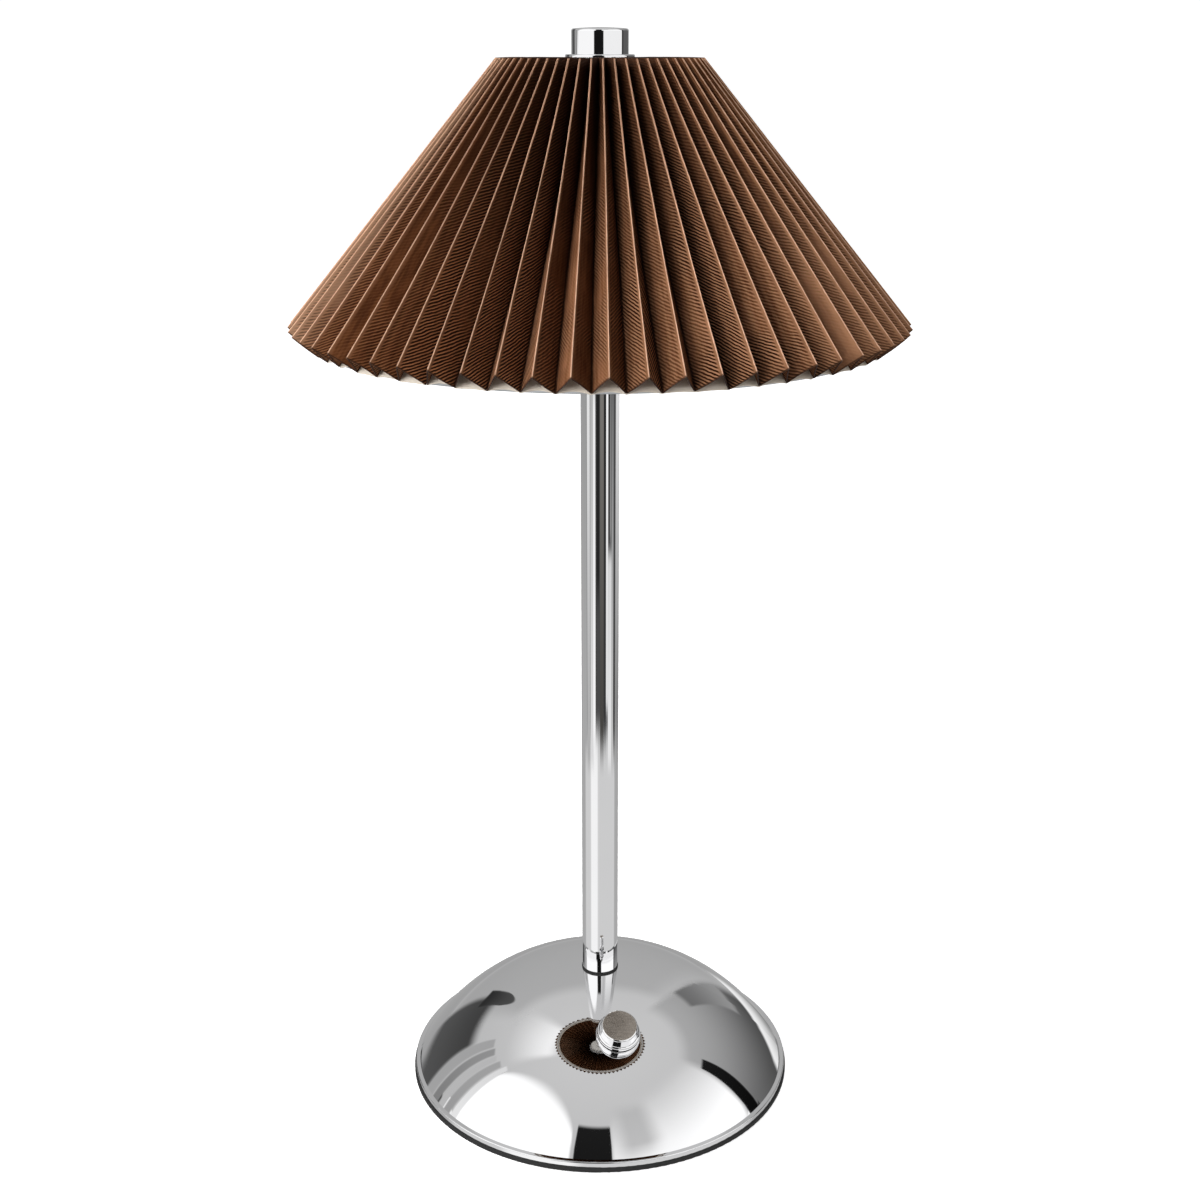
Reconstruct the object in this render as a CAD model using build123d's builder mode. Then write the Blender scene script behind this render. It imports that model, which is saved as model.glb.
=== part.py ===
from build123d import *
from math import cos, radians, sin, sqrt, tan
import os

# Pleated table lamp: a chrome dome base with a rotary dimmer, a chrome stem and a pleated shade
# that a round finial nut holds on top. Millimetres, +Z up, front towards -Y, and the origin
# on the floor under the middle of the base.

os.makedirs("parts", exist_ok=True)

# Clearances
seat_gap = 0.3
running_gap = 0.05
ring_gap = 0.1
rim_tolerance = 0.01

# Dome base: a spun shell, part of a ball, on a turned rim
dome_radius = 100.5
dome_top = 48.3
dome_wall = 1.2
rim_radius = 84.9
rim_top = 4.6
rim_round = 0.5
foot_radius = 85.5
foot_inner_radius = 77.0
foot_height = 2.2
foot_round = 0.4
foot_rib_width = 2.8
foot_rib_height = 0.9
dome_centre = dome_top - dome_radius

# Base plate, weight and the screws between them
plate_thickness = 2.0
weight_radius = 62.0
weight_thickness = 10.0
weight_edge = 2.0
notch_width = 28.0
notch_start = 54.0
plate_screw_count = 3
plate_screw_circle = 52.0
plate_screw_radius = 2.0
plate_screw_head_radius = 4.0
plate_screw_length = 8.0

# Hollow rod that clamps base, stem and shade together
rod_radius = 5.0
rod_bore_radius = 3.4
rod_end_gap = 0.2
rod_end_chamfer = 0.5
rod_slot_width = 3.4
rod_slot_length = 12.0
nut_thickness = 4.0
nut_across_flats = 14.0
washer_radius = 9.5
washer_thickness = 1.4
spacer_radius = 8.0
spacer_window_radius = 2.6

# Stem
stem_radius = 8.0
stem_wall = 1.0
stem_window_radius = 2.4
gasket_radius = 8.2
gasket_thickness = 0.5
cap_nut_flange = 3.0
cap_nut_spigot = 6.0

# Dimmer and knob
knob_place_radius = 43.2
knob_azimuth = -79.5
knob_top_radius = 7.9
knob_waist_radius = 8.4
knob_lip_radius = 9.4
knob_top_height = 7.9
knob_shoulder_height = 6.9
knob_edge_radius = 6.9
knob_crown_drop = 0.3
knob_waist_height = 3.9
knob_lip_height = 3.1
knob_bottom_height = 2.3
knob_cove_sag = 0.3
knob_recess_radius = 6.4
knob_recess_height = 4.6
collar_radius = 9.7
collar_height = 1.3
collar_floor = 0.6
collar_round = 0.4
collar_blank_depth = 1.0
dimmer_nut_across_flats = 10.0
dimmer_nut_thickness = 1.6
bush_radius = 3.5
bush_height = 4.0
shaft_radius = 3.0
shaft_flat = 1.6
shaft_height = 6.6
shaft_depth = 7.0
dimmer_body_radius = 8.0
dimmer_body_height = 8.0

# Battery pack
cell_radius = 9.2
cell_length = 65.0
cell_button_radius = 3.0
cell_button_height = 1.2
cell_place_radius = 30.0
cell_azimuths = (30.0, 150.0)
cradle_floor = 1.5
cradle_end = 1.5
cradle_width = 15.0
cradle_height = 7.0

# Control board
board_azimuth = 243.0
board_place_radius = 46.0
board_length = 34.0
board_width = 22.0
board_thickness = 1.6
standoff_radius = 2.4
standoff_height = 4.0
standoff_inset = 3.0
chip_length = 9.0
chip_width = 7.0
chip_height = 1.8
plug_length = 8.0
plug_width = 6.0
plug_height = 3.2

# Charging port
port_azimuth = 90.0
port_place_radius = 70.0
port_flange_length = 15.0
port_flange_width = 8.0
port_flange_proud = 0.8
port_flange_bevel = 0.25
port_boss_length = 13.0
port_boss_width = 6.4
port_boss_depth = 8.2
socket_length = 8.94
socket_width = 3.26
socket_wall = 0.3
socket_depth = 7.3
socket_back = 1.0
socket_tongue_length = 6.7
socket_tongue_thickness = 0.7
socket_tongue_depth = 4.6
port_board_length = 18.0
port_board_width = 11.0
port_board_thickness = 1.0
port_board_round = 1.0

# Lighting head round the top of the stem
shade_seat = 439.0
head_plate_bottom = 418.0
head_plate_thickness = 4.0
head_radius = 28.0
head_skirt_depth = 4.0
head_skirt_wall = 1.5
head_collar_radius = 12.5
head_collar_height = 11.0
fin_count = 18
fin_thickness = 1.2
fin_height = 5.0
fin_start_radius = 12.0
fin_inset = 1.0
set_screw_radius = 2.0
set_screw_drop = 4.0
led_board_radius = 24.0
led_board_bore = 9.5
led_board_thickness = 1.6
led_count = 12
led_circle = 19.0
led_size = 3.0
led_height = 0.8
diffuser_height = 46.0
diffuser_wall = 1.5
diffuser_round = 6.0

# Cable from the control board to the lighting head
cable_radius = 1.25
cable_bend = 5.0
cable_low_height = 30.0
cable_high_height = 407.0
cable_head_radius = 14.0

# Shade: a pleated strip of fabric wrapped into a cone
pleat_count = 60
pleat_phase = 1.5
pleat_width = 12.2
pleat_wall = 0.7
ridge_top_radius = 40.1
ridge_top_height = 441.9
ridge_bottom_radius = 123.8
ridge_bottom_height = 341.3
liner_wall = 0.5
liner_width = 10.0
wire_radius = 1.5
wire_inset = 3.0
arm_radius = 1.25
arm_count = 3
arm_turn = 30.0
arm_root_radius = 9.5
hub_radius = 12.0
hub_thickness = 2.5

# Finial nut and its washer
finial_radius = 11.0
finial_height = 9.8
finial_round = 0.9
finial_crown = 0.5
finial_bore_depth = 7.1
finial_rod_gap = 0.7
finial_washer_radius = 13.4
finial_washer_thickness = 1.6
finial_washer_round = 0.5


def dome_height(radius, inset=0.0):
    """Height of the dome at this distance from the axis, or of its inner face with the wall as inset."""
    return dome_centre + sqrt((dome_radius - inset) ** 2 - radius**2)


def ball_sag(ball_radius, radius):
    """How far a ball falls away from its tangent plane at this distance from the touching point."""
    return ball_radius - sqrt(ball_radius**2 - radius**2)


def on_dome(radius, azimuth):
    """Plane that touches the outside of the dome, with its normal outwards and X along the contour."""
    outward = Vector(cos(radians(azimuth)), sin(radians(azimuth)), 0)
    sideways = Vector(-outward.Y, outward.X, 0)
    point = outward * radius + Vector(0, 0, dome_height(radius))
    return Plane(origin=point, x_dir=sideways, z_dir=point - Vector(0, 0, dome_centre))


def section_of(plane):
    """Plane that holds another plane's normal as its Y, for the half section of a turned piece."""
    return Plane(origin=plane.origin, x_dir=plane.x_dir, z_dir=plane.x_dir.cross(plane.z_dir))


def level_at(radius, azimuth, height):
    """Level plane at this distance from the axis, with X outwards."""
    outward = Vector(cos(radians(azimuth)), sin(radians(azimuth)), 0)
    return Plane(origin=outward * radius + Vector(0, 0, height), x_dir=outward, z_dir=(0, 0, 1))


def rims(piece, radius):
    """Circular edges of this radius on a finished shape, lowest first."""
    circles = piece.edges().filter_by(GeomType.CIRCLE)
    return circles.filter_by(lambda edge: abs(edge.radius - radius) < rim_tolerance).sort_by(Axis.Z)


def finish(piece, name):
    """Names a finished piece and writes it to its own file."""
    piece.part.label = name
    export_step(piece.part, f"parts/{name}.step")


# Heights of the stack in the base
plate_top = foot_height + plate_thickness
weight_top = plate_top + weight_thickness
rod_bottom = plate_top + rod_end_gap
nut_top = rod_bottom + nut_thickness
recess_top = nut_top + washer_thickness
gasket_top = dome_height(0) + gasket_thickness

# Heights of the stack at the top
stem_top = shade_seat - cap_nut_flange
hub_top = shade_seat + hub_thickness
finial_bottom = hub_top + finial_washer_thickness
finial_top = finial_bottom + finial_height
rod_top = finial_bottom + finial_bore_depth - finial_rod_gap

# Radii that follow from others
rod_clear_radius = rod_radius + seat_gap
plate_radius = rim_radius - dome_wall - seat_gap - foot_rib_width - seat_gap

# Chrome dome, spun from sheet with a step at the rim
rim_inner_radius = rim_radius - dome_wall
rim_inner_top = rim_top - dome_wall
ledge_radius = sqrt(dome_radius**2 - (rim_top - dome_centre) ** 2)
ledge_inner_radius = sqrt((dome_radius - dome_wall) ** 2 - (rim_inner_top - dome_centre) ** 2)
middle_radius = ledge_radius / 2
knob_plane = on_dome(knob_place_radius, knob_azimuth)
port_plane = on_dome(port_place_radius, port_azimuth)
cut_depth = 3 * dome_wall

with BuildPart() as dome_shell:
    with BuildSketch(Plane.XZ):
        with BuildLine():
            ThreePointArc(
                (rod_clear_radius, dome_height(rod_clear_radius)),
                (middle_radius, dome_height(middle_radius)),
                (ledge_radius, rim_top),
            )
            Polyline(
                (ledge_radius, rim_top),
                (rim_radius, rim_top),
                (rim_radius, foot_height),
                (rim_inner_radius, foot_height),
                (rim_inner_radius, rim_inner_top),
                (ledge_inner_radius, rim_inner_top),
            )
            ThreePointArc(
                (ledge_inner_radius, rim_inner_top),
                (middle_radius, dome_height(middle_radius, dome_wall)),
                (rod_clear_radius, dome_height(rod_clear_radius, dome_wall)),
            )
            Line(
                (rod_clear_radius, dome_height(rod_clear_radius, dome_wall)),
                (rod_clear_radius, dome_height(rod_clear_radius)),
            )
        make_face()
    revolve(axis=Axis.Z)
    fillet(rims(dome_shell, rim_radius)[-1], rim_round)
    with BuildSketch(knob_plane):
        Circle(bush_radius + ring_gap)
    extrude(amount=cut_depth, both=True, mode=Mode.SUBTRACT)
    with BuildSketch(port_plane):
        SlotOverall(port_boss_length + 2 * ring_gap, port_boss_width + 2 * ring_gap)
    extrude(amount=cut_depth, both=True, mode=Mode.SUBTRACT)
finish(dome_shell, "dome_shell")

# Black rubber ring that carries the rim, with a rib that centres it inside the shell
rib_outer_radius = rim_inner_radius - seat_gap
rib_inner_radius = rib_outer_radius - foot_rib_width
with BuildPart() as foot_ring:
    with BuildSketch(Plane.XZ):
        with BuildLine():
            Polyline(
                (foot_inner_radius, 0),
                (foot_radius, 0),
                (foot_radius, foot_height),
                (rib_outer_radius, foot_height),
                (rib_outer_radius, foot_height + foot_rib_height),
                (rib_inner_radius, foot_height + foot_rib_height),
                (rib_inner_radius, foot_height),
                (foot_inner_radius, foot_height),
                close=True,
            )
        make_face()
    revolve(axis=Axis.Z)
    fillet(rims(foot_ring, foot_radius), foot_round)
finish(foot_ring, "foot_ring")

# Plastic plate that closes the base, countersunk for its screws
with BuildPart() as base_plate:
    with BuildSketch(Plane.XY.offset(foot_height)):
        Circle(plate_radius)
    extrude(amount=plate_thickness)
    with Locations(Plane(origin=(0, 0, foot_height), x_dir=(1, 0, 0), z_dir=(0, 0, -1))):
        with PolarLocations(plate_screw_circle, plate_screw_count):
            CounterSinkHole(
                plate_screw_radius + ring_gap,
                plate_screw_head_radius + ring_gap,
                counter_sink_angle=90,
            )
finish(base_plate, "base_plate")

# Countersunk screws from below, through the plate into the weight
head_depth = plate_screw_head_radius - plate_screw_radius
with BuildPart() as base_plate_screws:
    with PolarLocations(plate_screw_circle, plate_screw_count):
        with Locations((0, 0, foot_height)):
            Cylinder(plate_screw_radius, plate_screw_length, align=(Align.CENTER, Align.CENTER, Align.MIN))
            Cone(
                plate_screw_head_radius,
                plate_screw_radius,
                head_depth,
                align=(Align.CENTER, Align.CENTER, Align.MIN),
            )
finish(base_plate_screws, "base_plate_screws")

# Cast iron weight with a recess for the rod nut, tapped holes and a notch behind the port
with BuildPart() as base_weight:
    with BuildSketch(Plane.XY.offset(plate_top)):
        Circle(weight_radius)
    extrude(amount=weight_thickness)
    chamfer(rims(base_weight, weight_radius)[-1], weight_edge)
    with BuildSketch(Plane.XY.offset(plate_top)):
        Circle(washer_radius + seat_gap)
    extrude(amount=recess_top - plate_top, mode=Mode.SUBTRACT)
    with BuildSketch(Plane.XY.offset(plate_top)):
        Circle(rod_clear_radius)
        with PolarLocations(plate_screw_circle, plate_screw_count):
            Circle(plate_screw_radius + running_gap)
        with Locations((0, notch_start + weight_radius)):
            Rectangle(notch_width, 2 * weight_radius)
    extrude(amount=weight_thickness, mode=Mode.SUBTRACT)
finish(base_weight, "base_weight")

# Nut and washer at the foot of the rod
with BuildPart() as rod_nut:
    with BuildSketch(Plane.XY.offset(rod_bottom)):
        RegularPolygon(nut_across_flats / 2, 6, major_radius=False)
        Circle(rod_radius + running_gap, mode=Mode.SUBTRACT)
    extrude(amount=nut_thickness)
finish(rod_nut, "rod_nut")

with BuildPart() as rod_washer:
    with BuildSketch(Plane.XY.offset(nut_top)):
        Circle(washer_radius)
        Circle(rod_clear_radius, mode=Mode.SUBTRACT)
    extrude(amount=washer_thickness)
finish(rod_washer, "rod_washer")

# Spacer tube between weight and dome, with a window for the cable
cable_out = level_at(board_place_radius, board_azimuth, cable_low_height).x_dir
with BuildPart() as centre_spacer:
    with BuildSketch(Plane.XY.offset(weight_top)):
        Circle(spacer_radius)
        Circle(rod_clear_radius, mode=Mode.SUBTRACT)
    extrude(amount=dome_top - weight_top)
    with BuildSketch(Plane(origin=(0, 0, cable_low_height), z_dir=cable_out)):
        Circle(spacer_window_radius)
    extrude(amount=2 * spacer_radius, mode=Mode.SUBTRACT)
    with Locations((0, 0, dome_centre)):
        Sphere(dome_radius - dome_wall - running_gap, mode=Mode.INTERSECT)
finish(centre_spacer, "centre_spacer")

# Hollow threaded rod from the base to the finial, slotted where the cable enters and leaves
with BuildPart() as threaded_rod:
    with BuildSketch(Plane.XY.offset(rod_bottom)):
        Circle(rod_radius)
        Circle(rod_bore_radius, mode=Mode.SUBTRACT)
    extrude(amount=rod_top - rod_bottom)
    chamfer(rims(threaded_rod, rod_radius)[-1], rod_end_chamfer)
    with BuildSketch(Plane(origin=(0, 0, cable_low_height), x_dir=(0, 0, 1), z_dir=cable_out)):
        SlotOverall(rod_slot_length, rod_slot_width)
    extrude(amount=2 * rod_radius, mode=Mode.SUBTRACT)
    with BuildSketch(Plane(origin=(0, 0, cable_high_height), x_dir=(0, 0, 1), z_dir=(1, 0, 0))):
        SlotOverall(rod_slot_length, rod_slot_width)
    extrude(amount=2 * rod_radius, mode=Mode.SUBTRACT)
finish(threaded_rod, "threaded_rod")

# Rubber gasket under the stem, hollowed to the dome below it
with BuildPart() as stem_gasket:
    with BuildSketch(Plane.XY.offset(dome_height(gasket_radius) - gasket_thickness)):
        Circle(gasket_radius)
        Circle(rod_clear_radius, mode=Mode.SUBTRACT)
    extrude(amount=gasket_top - dome_height(gasket_radius) + gasket_thickness)
    with Locations((0, 0, dome_centre)):
        Sphere(dome_radius, mode=Mode.SUBTRACT)
finish(stem_gasket, "stem_gasket")

# Chrome stem tube with a window for the cable
with BuildPart() as stem_tube:
    with BuildSketch(Plane.XY.offset(gasket_top)):
        Circle(stem_radius)
        Circle(stem_radius - stem_wall, mode=Mode.SUBTRACT)
    extrude(amount=stem_top - gasket_top)
    with BuildSketch(Plane(origin=(0, 0, cable_high_height), z_dir=(1, 0, 0))):
        Circle(stem_window_radius)
    extrude(amount=2 * stem_radius, mode=Mode.SUBTRACT)
finish(stem_tube, "stem_tube")

# Threaded cap nut that closes the stem and carries the shade
with BuildPart() as stem_cap_nut:
    with BuildSketch(Plane.XY.offset(stem_top)):
        Circle(stem_radius)
    extrude(amount=cap_nut_flange)
    with BuildSketch(Plane.XY.offset(stem_top - cap_nut_spigot)):
        Circle(stem_radius - stem_wall - running_gap)
    extrude(amount=cap_nut_spigot)
    with BuildSketch(Plane.XY.offset(stem_top - cap_nut_spigot)):
        Circle(rod_radius + running_gap)
    extrude(amount=cap_nut_spigot + cap_nut_flange, mode=Mode.SUBTRACT)
finish(stem_cap_nut, "stem_cap_nut")

# Dimmer under the dome: a round housing with a threaded bush that comes out through the wall
knob_axis = Axis(knob_plane.origin, knob_plane.z_dir)
dimmer_top = -dome_wall - ball_sag(dome_radius - dome_wall, dimmer_body_radius) - running_gap
dimmer_bottom = dimmer_top - dimmer_body_height
with BuildPart() as dimmer_body:
    with BuildSketch(section_of(knob_plane)):
        with BuildLine():
            Polyline(
                (0, dimmer_bottom),
                (dimmer_body_radius, dimmer_bottom),
                (dimmer_body_radius, dimmer_top),
                (bush_radius, dimmer_top),
                (bush_radius, bush_height),
                (shaft_radius + running_gap, bush_height),
                (shaft_radius + running_gap, -shaft_depth - ring_gap),
                (0, -shaft_depth - ring_gap),
                close=True,
            )
        make_face()
    revolve(axis=knob_axis)
finish(dimmer_body, "dimmer_body")

# Chrome collar round the bush, hollowed to the dome below it and recessed for its nut
with BuildPart() as knob_collar:
    with BuildSketch(section_of(knob_plane)):
        with BuildLine():
            Polyline(
                (bush_radius + ring_gap, -collar_blank_depth),
                (collar_radius, -collar_blank_depth),
                (collar_radius, collar_height),
                (knob_recess_radius, collar_height),
                (knob_recess_radius, collar_floor),
                (bush_radius + ring_gap, collar_floor),
                close=True,
            )
        make_face()
    revolve(axis=knob_axis)
    with Locations((0, 0, dome_centre)):
        Sphere(dome_radius, mode=Mode.SUBTRACT)
    fillet(rims(knob_collar, collar_radius)[-1], collar_round)
finish(knob_collar, "knob_collar")

# Flat nut that clamps collar and dimmer to the dome
with BuildPart() as dimmer_nut:
    with BuildSketch(knob_plane.offset(collar_floor)):
        RegularPolygon(dimmer_nut_across_flats / 2, 6, major_radius=False)
        Circle(bush_radius + running_gap, mode=Mode.SUBTRACT)
    extrude(amount=dimmer_nut_thickness)
finish(dimmer_nut, "dimmer_nut")

# Shaft of the dimmer, flattened where the knob grips it
flat_length = shaft_height - bush_height
with BuildPart() as dimmer_shaft:
    with BuildSketch(knob_plane.offset(-shaft_depth)):
        Circle(shaft_radius)
    extrude(amount=shaft_depth + shaft_height)
    with BuildSketch(knob_plane.offset(bush_height)):
        with Locations((0, shaft_flat + shaft_radius)):
            Rectangle(2 * shaft_radius, 2 * shaft_radius)
    extrude(amount=flat_length, mode=Mode.SUBTRACT)
finish(dimmer_shaft, "dimmer_shaft")

# Chrome knob: a crowned top, a slightly tapered side and a lip above the collar
with BuildPart() as dimmer_knob:
    with BuildSketch(section_of(knob_plane)):
        with BuildLine():
            ThreePointArc(
                (0, knob_top_height),
                (knob_edge_radius / 2, knob_top_height - knob_crown_drop / 4),
                (knob_edge_radius, knob_top_height - knob_crown_drop),
            )
            ThreePointArc(
                (knob_edge_radius, knob_top_height - knob_crown_drop),
                (
                    knob_top_radius - (knob_top_radius - knob_edge_radius) * (1 - cos(radians(45))),
                    knob_shoulder_height
                    + (knob_top_height - knob_crown_drop - knob_shoulder_height) * sin(radians(45)),
                ),
                (knob_top_radius, knob_shoulder_height),
            )
            Line((knob_top_radius, knob_shoulder_height), (knob_waist_radius, knob_waist_height))
            ThreePointArc(
                (knob_waist_radius, knob_waist_height),
                (
                    (knob_waist_radius + knob_lip_radius) / 2 - knob_cove_sag / 2,
                    (knob_waist_height + knob_lip_height) / 2 - knob_cove_sag / 2,
                ),
                (knob_lip_radius, knob_lip_height),
            )
            Polyline(
                (knob_lip_radius, knob_lip_height),
                (knob_lip_radius, knob_bottom_height),
                (knob_recess_radius, knob_bottom_height),
                (knob_recess_radius, knob_recess_height),
                (0, knob_recess_height),
                (0, knob_top_height),
            )
        make_face()
    revolve(axis=knob_axis)
    with BuildSketch(knob_plane.offset(knob_recess_height)):
        Circle(shaft_radius + running_gap)
        with Locations((0, shaft_flat + running_gap + shaft_radius)):
            Rectangle(4 * shaft_radius, 2 * shaft_radius, mode=Mode.SUBTRACT)
    extrude(amount=shaft_height + ring_gap - knob_recess_height, mode=Mode.SUBTRACT)
finish(dimmer_knob, "dimmer_knob")

# Two battery cells on their sides, each in a moulded cradle on the weight
cell_height = weight_top + cradle_floor + cell_radius
with BuildPart() as battery_cells:
    for azimuth in cell_azimuths:
        lying = level_at(cell_place_radius, azimuth, cell_height)
        along = lying.y_dir
        body_length = cell_length - cell_button_height
        with BuildSketch(Plane(origin=lying.origin - along * (cell_length / 2), z_dir=along)):
            Circle(cell_radius)
        extrude(amount=body_length)
        body_end = lying.origin + along * (body_length - cell_length / 2)
        with BuildSketch(Plane(origin=body_end, z_dir=along)):
            Circle(cell_button_radius)
        extrude(amount=cell_button_height)
finish(battery_cells, "battery_cells")

cradle_length = cell_length + 2 * seat_gap + 2 * cradle_end
with BuildPart() as battery_cradles:
    for azimuth in cell_azimuths:
        with BuildSketch(level_at(cell_place_radius, azimuth, weight_top)):
            Rectangle(cradle_width, cradle_length)
        extrude(amount=cradle_height)
        lying = level_at(cell_place_radius, azimuth, cell_height)
        trough_start = lying.origin - lying.y_dir * (cell_length / 2 + seat_gap)
        with BuildSketch(Plane(origin=trough_start, z_dir=lying.y_dir)):
            Circle(cell_radius + ring_gap)
        extrude(amount=cell_length + 2 * seat_gap, mode=Mode.SUBTRACT)
finish(battery_cradles, "battery_cradles")

# Control board on four standoffs, with its chip and its plug
board_bottom = weight_top + standoff_height
board_top = board_bottom + board_thickness
with BuildPart() as board_standoffs:
    with BuildSketch(level_at(board_place_radius, board_azimuth, weight_top)):
        with GridLocations(board_width - 2 * standoff_inset, board_length - 2 * standoff_inset, 2, 2):
            Circle(standoff_radius)
    extrude(amount=standoff_height)
finish(board_standoffs, "board_standoffs")

with BuildPart() as control_board:
    with BuildSketch(level_at(board_place_radius, board_azimuth, board_bottom)):
        RectangleRounded(board_width, board_length, standoff_inset / 2)
    extrude(amount=board_thickness)
    with BuildSketch(level_at(board_place_radius, board_azimuth, board_top)):
        with Locations((board_width / 2 - chip_width, chip_length)):
            Rectangle(chip_width, chip_length)
    extrude(amount=chip_height)
    with BuildSketch(level_at(board_place_radius, board_azimuth, board_top)):
        with Locations((plug_width / 2 - board_width / 2, 0)):
            Rectangle(plug_width, plug_length)
    extrude(amount=plug_height)
finish(control_board, "control_board")

# Charging port at the back: a plastic bezel through the wall, the socket in it and its small board
flange_underside = ball_sag(dome_radius, port_flange_length / 2)
with BuildPart() as usb_bezel:
    with BuildSketch(port_plane.offset(-flange_underside)):
        SlotOverall(port_flange_length, port_flange_width)
    extrude(amount=flange_underside + port_flange_proud)
    front_face = usb_bezel.faces().sort_by(Axis(port_plane.origin, port_plane.z_dir))[-1]
    chamfer(front_face.edges(), port_flange_bevel)
    with Locations((0, 0, dome_centre)):
        Sphere(dome_radius, mode=Mode.SUBTRACT)
    with BuildSketch(port_plane.offset(-port_boss_depth)):
        SlotOverall(port_boss_length, port_boss_width)
    extrude(amount=port_boss_depth)
    with BuildSketch(port_plane.offset(-port_boss_depth)):
        SlotOverall(socket_length + 2 * ring_gap, socket_width + 2 * ring_gap)
    extrude(amount=port_boss_depth + port_flange_proud, mode=Mode.SUBTRACT)
finish(usb_bezel, "usb_bezel")

with BuildPart() as usb_socket:
    with BuildSketch(port_plane.offset(-port_boss_depth)):
        SlotOverall(socket_length, socket_width)
    extrude(amount=socket_depth)
    with BuildSketch(port_plane.offset(socket_back - port_boss_depth)):
        SlotOverall(socket_length - 2 * socket_wall, socket_width - 2 * socket_wall)
    extrude(amount=socket_depth - socket_back, mode=Mode.SUBTRACT)
    with BuildSketch(port_plane.offset(socket_back - port_boss_depth)):
        Rectangle(socket_tongue_length, socket_tongue_thickness)
    extrude(amount=socket_tongue_depth)
finish(usb_socket, "usb_socket")

with BuildPart() as usb_board:
    with BuildSketch(port_plane.offset(-port_boss_depth - port_board_thickness)):
        RectangleRounded(port_board_length, port_board_width, port_board_round)
    extrude(amount=port_board_thickness)
finish(usb_board, "usb_board")

# Aluminium head that clamps round the stem: plate, skirt, collar and cooling fins
head_plate_top = head_plate_bottom + head_plate_thickness
head_collar_top = head_plate_top + head_collar_height
set_screw_height = head_collar_top - set_screw_drop
with BuildPart() as led_housing:
    with BuildSketch(Plane.XY.offset(head_plate_bottom)):
        Circle(head_radius)
    extrude(amount=head_plate_thickness)
    with BuildSketch(Plane.XY.offset(head_plate_bottom - head_skirt_depth)):
        Circle(head_radius)
        Circle(head_radius - head_skirt_wall, mode=Mode.SUBTRACT)
    extrude(amount=head_skirt_depth)
    with BuildSketch(Plane.XY.offset(head_plate_top)):
        Circle(head_collar_radius)
    extrude(amount=head_collar_height)
    with BuildSketch(Plane.XY.offset(head_plate_top)):
        with PolarLocations((fin_start_radius + head_radius - fin_inset) / 2, fin_count):
            Rectangle(head_radius - fin_inset - fin_start_radius, fin_thickness)
    extrude(amount=fin_height)
    with BuildSketch(Plane.XY.offset(head_plate_bottom)):
        Circle(stem_radius + running_gap)
    extrude(amount=head_collar_top - head_plate_bottom, mode=Mode.SUBTRACT)
    with BuildSketch(Plane(origin=(0, 0, set_screw_height), z_dir=(0, 1, 0))):
        Circle(set_screw_radius + running_gap)
    extrude(amount=head_radius, mode=Mode.SUBTRACT)
finish(led_housing, "led_housing")

# Set screw in the collar
with BuildPart() as led_set_screw:
    with BuildSketch(Plane(origin=(0, stem_radius, set_screw_height), z_dir=(0, 1, 0))):
        Circle(set_screw_radius)
    extrude(amount=head_collar_radius - stem_radius - ring_gap)
finish(led_set_screw, "led_set_screw")

# Ring-shaped board under the plate and the light emitting chips on it
led_board_bottom = head_plate_bottom - led_board_thickness
with BuildPart() as led_board:
    with BuildSketch(Plane.XY.offset(led_board_bottom)):
        Circle(led_board_radius)
        Circle(led_board_bore, mode=Mode.SUBTRACT)
    extrude(amount=led_board_thickness)
finish(led_board, "led_board")

with BuildPart() as led_chips:
    with BuildSketch(Plane.XY.offset(led_board_bottom - led_height)):
        with PolarLocations(led_circle, led_count, 360 / led_count / 2):
            Rectangle(led_size, led_size)
    extrude(amount=led_height)
finish(led_chips, "led_chips")

# Opal diffuser: an upright cup round the stem, let into the skirt of the head
diffuser_radius = head_radius - head_skirt_wall - seat_gap
diffuser_top = head_plate_bottom - ring_gap
diffuser_bottom = diffuser_top - diffuser_height
with BuildPart() as diffuser:
    with BuildSketch(Plane.XY.offset(diffuser_bottom)):
        Circle(diffuser_radius)
    extrude(amount=diffuser_height)
    fillet(rims(diffuser, diffuser_radius)[0], diffuser_round)
    offset(amount=-diffuser_wall, openings=diffuser.faces().sort_by(Axis.Z)[-1])
    with BuildSketch(Plane.XY.offset(diffuser_bottom)):
        Circle(stem_radius + seat_gap)
    extrude(amount=diffuser_wall, mode=Mode.SUBTRACT)
finish(diffuser, "diffuser")

# Cable from the plug on the control board, up the bore of the rod and out to the lighting board
plug_top = board_top + plug_height
cable_foot = level_at(board_place_radius - board_width / 2 + plug_width / 2, board_azimuth, plug_top).origin
with BuildPart() as led_cable:
    with BuildLine() as cable_route:
        FilletPolyline(
            cable_foot,
            (cable_foot.X, cable_foot.Y, cable_low_height),
            (0, 0, cable_low_height),
            (0, 0, cable_high_height),
            (cable_head_radius, 0, cable_high_height),
            (cable_head_radius, 0, led_board_bottom),
            radius=cable_bend,
        )
    with BuildSketch(Plane(origin=cable_foot, z_dir=(0, 0, 1))):
        Circle(cable_radius)
    sweep()
finish(led_cable, "led_cable")

# Shade geometry: the strip lies along the ridge line, and its folds go in along the normal to it
ridge_run = Vector(ridge_bottom_radius - ridge_top_radius, ridge_top_height - ridge_bottom_height)
slant_out = ridge_run.X / ridge_run.length
slant_down = ridge_run.Y / ridge_run.length
pleat_spread = tan(radians(180 / pleat_count))

# The strip starts above the upper edge, far enough for its valleys to reach the level trim
trim_length = pleat_width * slant_out / slant_down
strip_top_radius = ridge_top_radius - trim_length * slant_out
strip_top_height = ridge_top_height + trim_length * slant_down


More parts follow.
